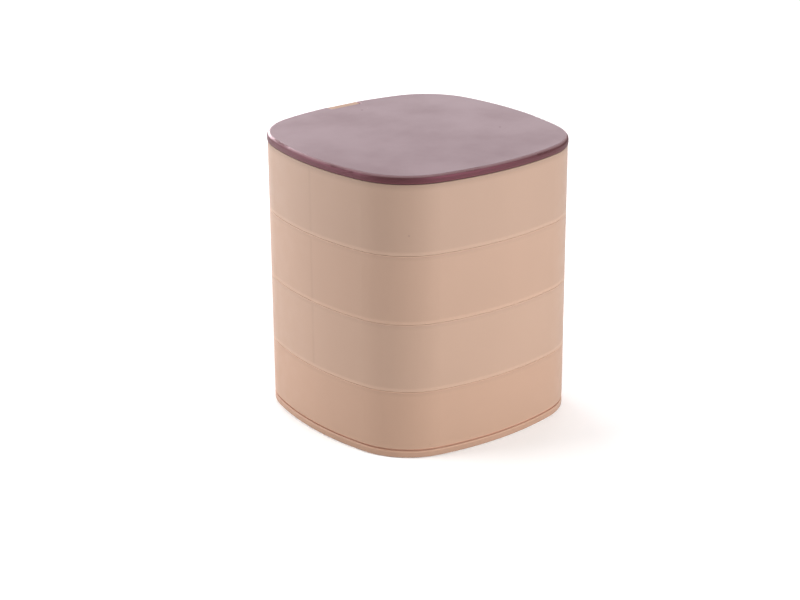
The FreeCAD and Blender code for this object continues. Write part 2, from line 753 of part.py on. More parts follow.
# ---------------------------------------------------------------------------
# Base cover: shallow dish under the bottom tray
# ---------------------------------------------------------------------------
base_cover = new_body("base_cover")
sketch = new_sketch(base_cover, "cover_outline", at=D.base_bottom)
outline(sketch, INSET)
pad(base_cover, sketch, D.base_top - D.base_bottom, "cover_block")
fillet(
    base_cover,
    lambda e, p: level(e, D.base_bottom.value),
    D.cover_bottom_round,
    "cover_bottom_round",
    expect=(8,),
)
sketch = new_sketch(base_cover, "cover_hollow_outline", at=D.base_top)
outline(sketch, INSET + D.cover_rim)
pocket(base_cover, sketch, D.base_top - D.cover_skin_top, "cover_hollow")
fillet(
    base_cover,
    lambda e, p: level(e, D.base_top.value) and on_outline(p, INSET.value),
    D.cover_top_round,
    "cover_top_round",
    expect=(8,),
)
for i, (sx, sy) in enumerate(POSTS, start=1):
    sketch = new_sketch(base_cover, "cup_plan_%d" % i, at=D.cover_skin_top - 0.4)
    circle(sketch, D.post_at * sx, D.post_at * sy, D.cup_radius, "cup")
    pad(base_cover, sketch, D.cup_top - D.cover_skin_top + 0.4, "cup_%d" % i)
FEET = [(-1, -1), (1, -1), (1, 1), (-1, 1)]
sketch = new_sketch(base_cover, "foot_pocket_plan", at=D.base_bottom)
for i, (sx, sy) in enumerate(FEET, start=1):
    circle(sketch, D.post_at * sx, D.post_at * sy, D.foot_pocket, "foot_%d" % i)
pocket(base_cover, sketch, D.foot_top - D.base_bottom, "foot_pockets", up=True)
sketch = new_sketch(base_cover, "well_plan", at=D.foot_top)
for i, (sx, sy) in enumerate(POSTS, start=1):
    circle(sketch, D.post_at * sx, D.post_at * sy, D.well_radius, "well_%d" % i)
pocket(base_cover, sketch, D.well_top - D.foot_top, "screw_wells", up=True)
sketch = new_sketch(base_cover, "cover_hole_plan", at=D.well_top)
for i, (sx, sy) in enumerate(POSTS, start=1):
    circle(sketch, D.post_at * sx, D.post_at * sy, D.cover_hole, "hole_%d" % i)
pocket(base_cover, sketch, D.cup_top - D.well_top, "cover_holes", up=True)

# Rubber feet, glued over the screws
rubber_feet = new_body("rubber_feet")
sketch = new_sketch(rubber_feet, "feet_plan")
for i, (sx, sy) in enumerate(FEET, start=1):
    circle(sketch, D.post_at * sx, D.post_at * sy, D.foot_radius, "foot_%d" % i)
pad(rubber_feet, sketch, D.foot_top, "feet")
fillet(rubber_feet, lambda e, p: level(e, 0.0), D.foot_round, "feet_round", expect=(4,))


# ---------------------------------------------------------------------------
# Screws: half section turned about the axis, cross recess in the head
# ---------------------------------------------------------------------------
def pan_screw(body, head_radius, head_height, shank_radius, shank_length, recess, at):
    """Head above z = 0, shank below it, on the vertical line through at."""
    sketch = new_sketch(body, body.Name + "_section", plane="XZ_Plane")
    polygon(
        sketch,
        [
            (ZERO, head_height),
            (head_radius * 0.62, head_height),
            (head_radius, head_height * 0.42),
            (head_radius, ZERO),
            (shank_radius, ZERO),
            (shank_radius, -shank_length + 0.4),
            (shank_radius - 0.4, -shank_length),
            (ZERO, -shank_length),
        ],
        "section",
    )
    revolve(body, sketch, body.Name + "_turned")
    sketch = new_sketch(body, body.Name + "_recess_plan", at=head_height)
    arm, half = recess, 0.42
    polygon(
        sketch,
        [
            (half, half), (arm, half), (arm, -half), (half, -half),
            (half, -arm), (-half, -arm), (-half, -half), (-arm, -half),
            (-arm, half), (-half, half), (-half, arm), (half, arm),
        ][::-1],
        "cross",
    )
    pocket(body, sketch, head_height * 0.6, body.Name + "_recess")


upper_screw = new_body("upper_screw", x=D.pivot_x, y=D.pivot_y, z=D.rod_top + 0.8)
pan_screw(
    upper_screw, Length.of(2.8), Length.of(2.3), D.thread_radius, Length.of(8.0), 1.6, None
)

# The lower one is the same screw turned over.
lower_screw = new_body("lower_screw", x=D.pivot_x, y=D.pivot_y, z=D.bottom_floor_low - 0.5)
pan_screw(
    lower_screw, Length.of(2.8), Length.of(2.2), D.thread_radius, Length.of(10.0), 1.6, None
)
lower_screw.Placement = FreeCAD.Placement(
    lower_screw.Placement.Base, FreeCAD.Rotation(V(1, 0, 0), 180)
)

# Three self-tapping screws hold the base cover, heads down in their wells.
cover_screw = new_body("cover_screws", z=D.well_top)
sketch = new_sketch(cover_screw, "cover_screw_section", plane="XZ_Plane", at=D.post_at)
polygon(
    sketch,
    [
        (-D.post_at, Length.of(-1.6)),
        (-D.post_at + 1.5, Length.of(-1.6)),
        (-D.post_at + 2.5, Length.of(-0.7)),
        (-D.post_at + 2.5, ZERO),
        (-D.post_at + D.pilot_radius, ZERO),
        (-D.post_at + D.pilot_radius, Length.of(4.8)),
        (-D.post_at + 0.3, Length.of(6.2)),
        (-D.post_at, Length.of(6.2)),
    ],
    "section",
)
turned = cover_screw.newObject("PartDesign::Revolution", "cover_screw_turned")
turned.Profile = sketch
turned.ReferenceAxis = (sketch, ["Edge8"])
turned.Angle = 360.0
doc.recompute()
sketch = new_sketch(cover_screw, "cover_screw_recess_plan", at=Length.of(-1.6))
half, arm = 0.35, 1.3
cross_points = [
    (half, half), (arm, half), (arm, -half), (half, -half),
    (half, -arm), (-half, -arm), (-half, -half), (-arm, -half),
    (-arm, half), (-half, half), (-half, arm), (half, arm),
]
polygon(
    sketch,
    [(-D.post_at + x, -D.post_at + y) for x, y in cross_points][::-1],
    "cross",
)
pocket(cover_screw, sketch, Length.of(0.9), "cover_screw_recess", up=True)
pattern = cover_screw.newObject("PartDesign::PolarPattern", "cover_screw_pattern")
pattern.Originals = [turned, cover_screw.getObject("cover_screw_recess")]
z_axis = [f for f in cover_screw.Origin.OriginFeatures if f.Role == "Z_Axis"][0]
pattern.Axis = (z_axis, [""])
pattern.Angle = 180.0
pattern.Occurrences = 3
cover_screw.Tip = pattern
doc.recompute()

# ---------------------------------------------------------------------------
# Rod and what is stacked on it
# ---------------------------------------------------------------------------
pivot_rod = new_body("pivot_rod", x=D.pivot_x, y=D.pivot_y, z=D.rod_bottom)
rod_length = D.rod_top - D.rod_bottom
sketch = new_sketch(pivot_rod, "rod_section")
circle(sketch, ZERO, ZERO, D.rod_radius, "rod")
pad(pivot_rod, sketch, rod_length, "rod")
sketch = new_sketch(pivot_rod, "rod_lower_thread_plan")
circle(sketch, ZERO, ZERO, D.thread_radius, "thread")
pocket(pivot_rod, sketch, Length.of(9.0), "rod_lower_thread", up=True)
sketch = new_sketch(pivot_rod, "rod_upper_thread_plan", at=rod_length)
circle(sketch, ZERO, ZERO, D.thread_radius, "thread")
pocket(pivot_rod, sketch, Length.of(9.5), "rod_upper_thread")
chamfer(
    pivot_rod,
    lambda e, p: (level(e, 0.0) or level(e, rod_length.value))
    and near(math.hypot(p.x, p.y), D.rod_radius.value),
    Length.of(0.3),
    "rod_ends",
    expect=(2,),
)


def ring(name, outer, bore, thick, z):
    body = new_body(name, x=D.pivot_x, y=D.pivot_y, z=z)
    sketch = new_sketch(body, name + "_plan")
    circle(sketch, ZERO, ZERO, outer, "outer")
    circle(sketch, ZERO, ZERO, bore, "bore")
    pad(body, sketch, thick, name + "_ring")
    return body


ring("lower_washer", Length.of(3.5), Length.of(1.6), Length.of(0.5), D.bottom_floor_low - 0.5)
retaining_washer = ring(
    "retaining_washer", Length.of(4.5), Length.of(1.6), Length.of(0.8), D.rod_top
)

# One spacer in each seam, at the rod, half sunk in the boss below it.
spacer_washers = new_body(
    "spacer_washers",
    x=D.pivot_x,
    y=D.pivot_y,
    z=bottom_rim + (D.seam_gap - D.spacer_pocket - D.spacer_thick) * 0.5,
)
sketch = new_sketch(spacer_washers, "spacer_plan")
circle(sketch, ZERO, ZERO, D.spacer_radius, "outer")
circle(sketch, ZERO, ZERO, D.spacer_bore, "bore")
spacer = pad(spacer_washers, sketch, D.spacer_thick, "spacer")
pattern = spacer_washers.newObject("PartDesign::LinearPattern", "spacer_pattern")
pattern.Originals = [spacer]
z_axis = [f for f in spacer_washers.Origin.OriginFeatures if f.Role == "Z_Axis"][0]
pattern.Direction = (z_axis, [""])
pattern.Length = 2 * D.tray_pitch.value
pattern.setExpression("Length", (D.tray_pitch * 2).text)
pattern.Occurrences = 3
spacer_washers.Tip = pattern
doc.recompute()

# Disc spring: loads the stack so that the trays stay where they are left.
disc_spring = new_body("disc_spring", x=D.pivot_x, y=D.pivot_y, z=D.shelf_level + 0.05)
sketch = new_sketch(disc_spring, "disc_spring_section", plane="XZ_Plane")
polygon(
    sketch,
    [
        (Length.of(3.2), Length.of(0.42)),
        (Length.of(4.6), Length.of(0.0)),
        (Length.of(4.7), Length.of(0.26)),
        (Length.of(3.3), Length.of(0.68)),
    ],
    "section",
)
revolve(disc_spring, sketch, "disc_spring_turned")

# Cap pressed into the counterbore of the top tray
pivot_cap = new_body("pivot_cap", x=D.pivot_x, y=D.pivot_y, z=Length.of(115.4))
sketch = new_sketch(pivot_cap, "cap_plan")
circle(sketch, ZERO, ZERO, D.shelf_radius, "cap")
pad(pivot_cap, sketch, Length.of(0.8), "cap")
sketch = new_sketch(pivot_cap, "cap_skirt_plan")
circle(sketch, ZERO, ZERO, D.shelf_radius, "outer")
circle(sketch, ZERO, ZERO, D.shelf_radius - 0.8, "inner")
pad(pivot_cap, sketch, Length.of(1.4), "cap_skirt", down=True)
fillet(
    pivot_cap, lambda e, p: level(e, 0.8), Length.of(0.3), "cap_round", expect=(1,)
)

# ---------------------------------------------------------------------------
# Lid
# ---------------------------------------------------------------------------
lid_shell = new_body("lid_shell", z=lid_bottom)
sketch = new_sketch(lid_shell, "lid_outline")
outline(sketch, ZERO)
pad(lid_shell, sketch, D.lid_height, "lid_block")
fillet(
    lid_shell,
    lambda e, p: level(e, D.lid_height.value),
    D.lid_top_round,
    "lid_top_round",
    expect=(8,),
)
fillet(
    lid_shell,
    lambda e, p: level(e, 0.0),
    D.lid_bottom_round,
    "lid_bottom_round",
    expect=(8,),
)
sketch = new_sketch(lid_shell, "lid_hollow_outline")
outline(sketch, D.lid_skirt)
pocket(lid_shell, sketch, D.lid_height - D.lid_skin, "lid_hollow", up=True)
# blocks for the hinge pin, either side of the notch
block_low = D.block_bottom - lid_bottom
block_half = D.notch_half + D.block_reach
sketch = new_sketch(lid_shell, "pin_block_plan", at=block_low)
rectangle(
    sketch,
    D.hinge_x - block_half,
    D.block_front,
    D.hinge_x + block_half,
    D.hinge_y + 0.8,
    "block",
)
pad(lid_shell, sketch, D.lid_height - 0.7 - block_low, "pin_block")
# notch for the lug
sketch = new_sketch(lid_shell, "notch_plan", at=Length.of(-1.0))
rectangle(
    sketch,
    D.hinge_x - D.notch_half,
    D.notch_floor,
    D.hinge_x + D.notch_half,
    D.half_width + 3.0,
    "notch",
)
pocket(lid_shell, sketch, D.lid_height + 2.0, "notch", up=True)
fillet(
    lid_shell,
    lambda e, p: near(p.y, D.notch_floor.value)
    and (
        near(p.x, D.hinge_x.value - D.notch_half.value)
        or near(p.x, D.hinge_x.value + D.notch_half.value)
    )
    and e.Length > 0.5
    and near(e.BoundBox.XLength, 0.0, 1e-3),
    D.notch_round,
    "notch_corners",
)
fillet(
    lid_shell,
    lambda e, p: abs(p.x - D.hinge_x.value) < D.notch_half.value + 0.05
    and p.y > D.notch_floor.value - 0.05
    and (
        level(e, D.lid_height.value)
        or (
            near(abs(p.x - D.hinge_x.value), D.notch_half.value)
            and near(e.BoundBox.XLength, 0.0, 1e-3)
            and p.z > D.lid_height.value - D.lid_top_round.value
            and p.y > D.half_width.value - D.lid_top_round.value - 0.5
        )
    ),
    D.notch_edge,
    "notch_edge",
)
# channel for the pin, with a narrower mouth underneath that it snaps through
axis_z = D.hinge_z - lid_bottom
sketch = new_sketch(
    lid_shell, "pin_channel_section", plane="YZ_Plane",
    at=D.hinge_x - D.notch_half - D.pin_reach - 0.1,
)
circle(sketch, D.hinge_y, axis_z, D.pin_radius, "channel")
pocket(lid_shell, sketch, (D.notch_half + D.pin_reach + 0.1) * 2, "pin_channel", up=True)
sketch = new_sketch(
    lid_shell, "pin_mouth_section", plane="YZ_Plane",
    at=D.hinge_x - D.notch_half - D.pin_reach - 0.1,
)
rectangle(
    sketch, D.hinge_y - D.pin_mouth, Length.of(-1.0), D.hinge_y + D.pin_mouth, axis_z, "mouth"
)
pocket(lid_shell, sketch, (D.notch_half + D.pin_reach + 0.1) * 2, "pin_mouth", up=True)
# heel: the lower back edge is round about the hinge axis
sketch = new_sketch(lid_shell, "heel_section", plane="YZ_Plane", at=-D.half_width)
hy, hz, hr = D.hinge_y.value, axis_z.value, D.heel_radius.value
arc = sketch.addGeometry(
    Part.ArcOfCircle(Part.Circle(V(hy, hz, 0), V(0, 0, 1), hr), -math.pi / 2, 0.0), False
)
corners = [(hy + hr, hz), (hy + 6, hz), (hy + 6, hz - 6), (hy, hz - 6), (hy, hz - hr)]
lines = []
for (x0, y0), (x1, y1) in zip(corners, corners[1:]):
    lines.append(sketch.addGeometry(Part.LineSegment(V(x0, y0, 0), V(x1, y1, 0)), False))
sketch.addConstraint(Sketcher.Constraint("Coincident", arc, 2, lines[0], 1))
for a, b in zip(lines, lines[1:]):
    sketch.addConstraint(Sketcher.Constraint("Coincident", a, 2, b, 1))
sketch.addConstraint(Sketcher.Constraint("Coincident", lines[3], 2, arc, 1))
sketch.addConstraint(Sketcher.Constraint("Horizontal", lines[0]))
sketch.addConstraint(Sketcher.Constraint("Vertical", lines[1]))
sketch.addConstraint(Sketcher.Constraint("Horizontal", lines[2]))
sketch.addConstraint(Sketcher.Constraint("Vertical", lines[3]))
sketch.addConstraint(Sketcher.Constraint("PointOnObject", arc, 3, lines[3]))
sketch.addConstraint(Sketcher.Constraint("PointOnObject", arc, 3, lines[0]))
dimension(sketch, Sketcher.Constraint("Radius", arc, hr), "heel_radius", D.heel_radius)
place_point(sketch, arc, 3, D.hinge_y, axis_z, "heel_axis")
place_point(sketch, lines[1], 2, D.hinge_y + 6.0, axis_z - 6.0, "heel_far")
pocket(lid_shell, sketch, D.half_width * 2, "heel", up=True)

# Mirror frame: flange that holds the mirror, behind it a rim cut out for the pin blocks
mirror_frame = new_body("mirror_frame", z=lid_bottom)
frame_inset = D.lid_skirt + D.frame_gap
sketch = new_sketch(mirror_frame, "frame_outline")
outline(sketch, frame_inset)
pad(mirror_frame, sketch, D.frame_height, "frame_block")
sketch = new_sketch(mirror_frame, "frame_rebate_outline", at=D.frame_height)
outline(sketch, D.mirror_inset - D.frame_gap)
pocket(mirror_frame, sketch, D.frame_height - D.frame_flange, "frame_rebate")
sketch = new_sketch(mirror_frame, "frame_window_outline", at=D.frame_height)
outline(sketch, D.window_inset)
pocket(mirror_frame, sketch, D.frame_height + 1.0, "frame_window")
sketch = new_sketch(mirror_frame, "frame_block_gap_plan", at=D.frame_height)
rectangle(
    sketch,
    D.hinge_x - block_half - D.frame_gap,
    D.block_front - D.frame_gap,
    D.hinge_x + block_half + D.frame_gap,
    D.half_width + 2.0,
    "gap",
)
pocket(mirror_frame, sketch, D.frame_height - D.frame_flange, "frame_block_gap")
sketch = new_sketch(mirror_frame, "frame_notch_plan", at=D.frame_height)
rectangle(
    sketch,
    D.hinge_x - D.notch_half,
    D.notch_floor,
    D.hinge_x + D.notch_half,
    D.half_width + 2.0,
    "notch",
)
pocket(mirror_frame, sketch, D.frame_height + 1.0, "frame_notch")
fillet(
    mirror_frame,
    lambda e, p: near(p.y, D.notch_floor.value)
    and near(e.BoundBox.XLength, 0.0, 1e-3)
    and near(e.BoundBox.YLength, 0.0, 1e-3),
    D.notch_round - 0.2,
    "frame_notch_corners",
    expect=(2,),
)
chamfer(
    mirror_frame,
    lambda e, p: level(e, 0.0) and on_outline(p, D.window_inset.value),
    Length.of(0.3),
    "frame_window_bevel",
    expect=(8,),
)

mirror = new_body("mirror", z=lid_bottom + D.frame_flange)
sketch = new_sketch(mirror, "mirror_outline")
outline(sketch, D.mirror_inset)
pad(mirror, sketch, D.mirror_thick, "mirror_sheet")

mirror_tape = new_body("mirror_tape", z=lid_bottom + D.frame_flange + D.mirror_thick)
sketch = new_sketch(mirror_tape, "tape_outline")
outline(sketch, D.tape_inset)
pad(mirror_tape, sketch, D.tape_thick, "tape")

hinge_pin = new_body(
    "hinge_pin", x=D.hinge_x - D.notch_half - D.pin_reach, y=D.hinge_y, z=D.hinge_z
)
sketch = new_sketch(hinge_pin, "pin_section", plane="YZ_Plane")
circle(sketch, ZERO, ZERO, D.pin_radius, "pin")
pad(hinge_pin, sketch, (D.notch_half + D.pin_reach) * 2, "pin")
chamfer(
    hinge_pin,
    lambda e, p: near(e.BoundBox.XLength, 0.0, 1e-4),
    Length.of(0.15),
    "pin_ends",
    expect=(2,),
)

# ---------------------------------------------------------------------------
# Check and write
# ---------------------------------------------------------------------------
doc.recompute()
for obj in doc.Objects:
    if "Invalid" in obj.State or "Error" in obj.State:
        raise RuntimeError("%s is in state %s" % (obj.Name, obj.State))
for body in nodes:
    if body.Shape.isNull() or not body.Shape.isValid():
        raise RuntimeError("%s has no valid shape" % body.Label)
    if not body.Shape.Solids:
        raise RuntimeError("%s has no solid" % body.Label)

os.makedirs("parts", exist_ok=True)
for body in nodes:
    body.Shape.exportStep("parts/%s.step" % body.Label)
    box = body.Shape.BoundBox
    print(
        "%-18s solids %d volume %9.1f  x %8.3f %8.3f  y %8.3f %8.3f  z %8.3f %8.3f"
        % (
            body.Label, len(body.Shape.Solids), body.Shape.Volume,
            box.XMin, box.XMax, box.YMin, box.YMax, box.ZMin, box.ZMax,
        )
    )
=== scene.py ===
"""Looks of the rotating jewelry box: plastic, steel, rubber and mirror materials,
a pale studio floor, soft light and the camera of the photograph."""
import math

import bpy
from mathutils import Matrix, Vector

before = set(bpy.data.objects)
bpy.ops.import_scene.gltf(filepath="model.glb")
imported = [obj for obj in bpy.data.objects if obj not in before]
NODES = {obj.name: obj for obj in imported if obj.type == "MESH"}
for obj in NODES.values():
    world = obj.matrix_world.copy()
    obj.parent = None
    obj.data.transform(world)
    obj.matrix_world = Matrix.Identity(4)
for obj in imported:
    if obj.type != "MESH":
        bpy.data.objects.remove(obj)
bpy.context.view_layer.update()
scene = bpy.context.scene


# ---------------------------------------------------------------------------
# Small node-tree helper
# ---------------------------------------------------------------------------
class Tree:
    """Builds a material's nodes; every method returns an output socket."""

    def __init__(self, name):
        self.material = bpy.data.materials.new(name)
        self.material.use_nodes = True
        self.nodes = self.material.node_tree.nodes
        self.links = self.material.node_tree.links
        self.nodes.clear()
        self.out = self.nodes.new("ShaderNodeOutputMaterial")
        self.shader = self.nodes.new("ShaderNodeBsdfPrincipled")
        self.links.new(self.shader.outputs["BSDF"], self.out.inputs["Surface"])
        self.place = self.nodes.new("ShaderNodeTexCoord").outputs["Object"]

    def set(self, name, value):
        socket = self.shader.inputs[name]
        if isinstance(value, bpy.types.NodeSocket):
            self.links.new(value, socket)
        else:
            socket.default_value = value

    def feed(self, socket, value):
        if isinstance(value, bpy.types.NodeSocket):
            self.links.new(value, socket)
        else:
            socket.default_value = value

    def math(self, operation, a, b=0.0, clamp=False):
        node = self.nodes.new("ShaderNodeMath")
        node.operation = operation
        node.use_clamp = clamp
        self.feed(node.inputs[0], a)
        self.feed(node.inputs[1], b)
        return node.outputs[0]

    def axes(self, vector=None):
        node = self.nodes.new("ShaderNodeSeparateXYZ")
        self.links.new(vector or self.place, node.inputs[0])
        return node.outputs[0], node.outputs[1], node.outputs[2]

    def stretched(self, x, y, z):
        node = self.nodes.new("ShaderNodeMapping")
        self.links.new(self.place, node.inputs["Vector"])
        node.inputs["Scale"].default_value = (x, y, z)
        return node.outputs[0]

    def noise(self, scale, detail=3.0, rough=0.5, vector=None, distortion=0.0):
        node = self.nodes.new("ShaderNodeTexNoise")
        self.links.new(vector or self.place, node.inputs["Vector"])
        node.inputs["Scale"].default_value = scale
        node.inputs["Detail"].default_value = detail
        node.inputs["Roughness"].default_value = rough
        node.inputs["Distortion"].default_value = distortion
        return node.outputs["Fac"]

    def cells(self, scale, vector=None):
        """Distance to the nearest cell point, and a random value of that cell."""
        node = self.nodes.new("ShaderNodeTexVoronoi")
        self.links.new(vector or self.place, node.inputs["Vector"])
        node.inputs["Scale"].default_value = scale
        split = self.nodes.new("ShaderNodeSeparateColor")
        self.links.new(node.outputs["Color"], split.inputs[0])
        return node.outputs["Distance"], split.outputs[0]

    def span(self, value, low, high, to_low=0.0, to_high=1.0, smooth=True):
        node = self.nodes.new("ShaderNodeMapRange")
        node.interpolation_type = "SMOOTHSTEP" if smooth else "LINEAR"
        self.feed(node.inputs["Value"], value)
        node.inputs["From Min"].default_value = low
        node.inputs["From Max"].default_value = high
        node.inputs["To Min"].default_value = to_low
        node.inputs["To Max"].default_value = to_high
        return node.outputs["Result"]

    def mix(self, factor, a, b):
        node = self.nodes.new("ShaderNodeMix")
        node.data_type = "RGBA"
        self.feed(node.inputs["Factor"], factor)
        for socket, value in ((node.inputs[6], a), (node.inputs[7], b)):
            if isinstance(value, bpy.types.NodeSocket):
                self.links.new(value, socket)
            else:
                socket.default_value = (*value, 1.0)
        return node.outputs[2]

    def bump(self, height, distance, strength=1.0, normal=None):
        node = self.nodes.new("ShaderNodeBump")
        self.feed(node.inputs["Strength"], strength)
        node.inputs["Distance"].default_value = distance
        self.links.new(height, node.inputs["Height"])
        if normal is not None:
            self.links.new(normal, node.inputs["Normal"])
        return node.outputs["Normal"]

    def spot(self, centre, radius):
        """1 at one point of the object, fading to 0 at radius, in metres."""
        node = self.nodes.new("ShaderNodeVectorMath")
        node.operation = "DISTANCE"
        self.links.new(self.place, node.inputs[0])
        node.inputs[1].default_value = centre
        return self.span(node.outputs["Value"], radius * 0.4, radius, 1.0, 0.0)

    def specks(self, scale, share, radius):
        """1 inside a few small dots, 0 elsewhere. radius is in metres."""
        distance, chance = self.cells(scale)
        small = self.span(distance, radius * scale * 0.6, radius * scale, 1.0, 0.0)
        chosen = self.math("LESS_THAN", chance, share)
        return self.math("MULTIPLY", small, chosen)


def tinted(colour, factor):
    return tuple(min(1.0, max(0.0, c * factor)) for c in colour)


# ---------------------------------------------------------------------------
# Moulded plastic of the trays
# ---------------------------------------------------------------------------
LONG_DIVIDER = -0.0009
OUTER = 0.0535
HINGE_X = 0.0016
EDGES = {  # lower and upper edge of each tray, colour factor of the painted highlight along the lower edge and of the painted shade along the upper edge, height of that painted shade
    "bottom_tray": (0.00388, 0.02911, 1.03, 0.93, 0.0022),
    "third_tray": (0.02923, 0.05816, 1.12, 0.93, 0.0022),
    "second_tray": (0.05828, 0.08721, 1.12, 0.93, 0.0022),
    "top_tray": (0.08733, 0.11655, 1.12, 0.83, 0.0028),
}


def tray_plastic(name, colour, dividers=(), long_divider=True, edges=None, marks=()):
    """Satin plastic: flow marks, fine grain, faint sink marks over the dividers
    (bumps, with painted shade in their colour), a painted highlight along the lower edge,
    painted shade along the upper edge and painted light at the base groove and hinge lug."""
    t = Tree(name)
    x, y, z = t.axes()
    flow = t.noise(14.0, 2.0, 0.5, t.stretched(1.0, 1.0, 0.35), 0.6)
    cloud = t.noise(45.0, 3.0, 0.55)
    base = t.mix(t.span(flow, 0.35, 0.65), tinted(colour, 0.985), tinted(colour, 1.015))
    base = t.mix(t.span(cloud, 0.3, 0.7, 0.0, 0.35), base, tinted(colour, 1.02))
    sink = None
    if long_divider:
        near = t.span(t.math("ABSOLUTE", t.math("SUBTRACT", y, LONG_DIVIDER)), 0.0002, 0.0012, 1.0, 0.0)
        outside = t.math("GREATER_THAN", t.math("ABSOLUTE", x), OUTER)
        sink = t.math("MULTIPLY", near, outside)
    for cross in dividers:
        near = t.span(t.math("ABSOLUTE", t.math("SUBTRACT", x, cross)), 0.0002, 0.0012, 1.0, 0.0)
        outside = t.math("GREATER_THAN", y, OUTER)
        mark = t.math("MULTIPLY", near, outside)
        sink = mark if sink is None else t.math("MAXIMUM", sink, mark)
    if sink is not None:
        # noise breaks up each sink mark, in its painted shade and its dent alike
        broken_up = t.span(t.noise(120.0, 2.0), 0.3, 0.7, 0.55, 1.0)
        sink = t.math("MULTIPLY", sink, broken_up)
        depth = 0.45 if name.endswith("top_tray") else 0.32
        # painted shade: the sink marks are drawn darker in colour, besides the dent made by the bump below
        base = t.mix(t.math("MULTIPLY", sink, depth), base, tinted(colour, 0.80))
    if edges is not None:
        low, high, lower_highlight, upper_shade, fade = edges
        # painted highlight along the lower edge of each tray, and painted shade along its upper edge beneath
        # the part above
        base = t.mix(t.span(z, low + 0.0010, low + 0.0019, 1.0, 0.0), base, tinted(colour, lower_highlight))
        base = t.mix(t.span(z, high - fade, high - 0.0003, smooth=False), base, tinted(colour, upper_shade))
        # painted light on the thin rounds beside a seam: a lighter colour stands in for light through the
        # thin plastic and lifts the seam's shade
        thin = t.span(z, low + 0.0002, low + 0.0004, 1.0, 0.0)
        if not name.endswith("top_tray"):
            thin = t.math("MAXIMUM", thin, t.span(z, high - 0.0003, high - 0.0002))
        base = t.mix(thin, base, tinted(colour, 1.27))
    if name.endswith("bottom_tray"):
        # painted light: the lower edge of the bottom tray at the base groove is lighter and warmer, lifting
        # the groove's shade
        groove = t.span(z, 0.00385, 0.00405, 1.0, 0.0)
        base = t.mix(groove, base, (colour[0] * 1.22, colour[1] * 1.07, colour[2] * 1.06))
    if name.endswith("base_cover"):
        # painted highlight in a band along the top round of the cover's ring, and painted light on the ledge
        # above it at the groove
        line = t.math("MULTIPLY", t.span(z, 0.0021, 0.0025), t.span(z, 0.0029, 0.00305, 1.0, 0.0))
        base = t.mix(line, base, tinted(colour, 1.16))
        base = t.mix(t.span(z, 0.0030, 0.0031), base, (colour[0] * 1.22, colour[1] * 1.07, colour[2] * 1.06))
    if name.endswith("top_tray"):  # the hinge lug: painted light, a warmer and lighter colour standing in for light coming through it
        beside = t.math("ABSOLUTE", t.math("SUBTRACT", x, HINGE_X))
        lug = t.math("MULTIPLY", t.span(beside, 0.0083, 0.0085, 1.0, 0.0), t.span(y, 0.0493, 0.0496))
        lug = t.math("MULTIPLY", lug, t.span(z, 0.1185, 0.1190))
        base = t.mix(lug, base, (colour[0] * 1.24, colour[1] * 1.13, colour[2] * 0.92))
    for centre, radius, depth in marks:
        base = t.mix(t.math("MULTIPLY", t.spot(centre, radius), depth), base, tinted(colour, 0.6))
    dots = t.specks(75.0, 0.035, 0.00028)
    base = t.mix(t.math("MULTIPLY", dots, 0.35), base, (0.20, 0.13, 0.10))
    t.set("Base Color", base)
    rough = t.span(t.noise(180.0, 3.0), 0.3, 0.7, 0.40, 0.47)
    t.set("Roughness", rough)
    t.set("IOR", 1.49)
    t.set("Specular IOR Level", 0.18)
    normal = t.bump(t.noise(2600.0, 2.0, 0.6), 0.00002, 0.25)
    normal = t.bump(t.noise(55.0, 2.0), 0.0004, 0.10, normal)
    if sink is not None:
        normal = t.bump(t.math("MULTIPLY", sink, -1.0), 0.00005, 0.5, normal)
    t.set("Normal", normal)
    return t.material


# colour of each part; the small differences from tray to tray are painted shade, standing in for how each
# tier is lit
TINT = {
    "top_tray": (0.321, 0.218, 0.164),
    "second_tray": (0.340, 0.226, 0.167),
    "third_tray": (0.348, 0.234, 0.174),
    "bottom_tray": (0.359, 0.231, 0.166),
    "base_cover": (0.341, 0.212, 0.150),
    "pivot_cap": (0.321, 0.218, 0.164),
}
MARKS = {
    "top_tray": (((-0.0414, -0.0469, 0.0958), 0.0006, 0.35),),
    "bottom_tray": (((-0.0343, -0.0510, 0.0056), 0.0005, 0.25), ((-0.0162, -0.0548, 0.0052), 0.0005, 0.20)),
}
DIVIDERS = {"top_tray": (-0.014, 0.020), "second_tray": (0.004,), "third_tray": ()}


# ---------------------------------------------------------------------------
# Glossy plastic of the lid
# ---------------------------------------------------------------------------
LID_COLOUR = (0.0545, 0.0232, 0.0225)


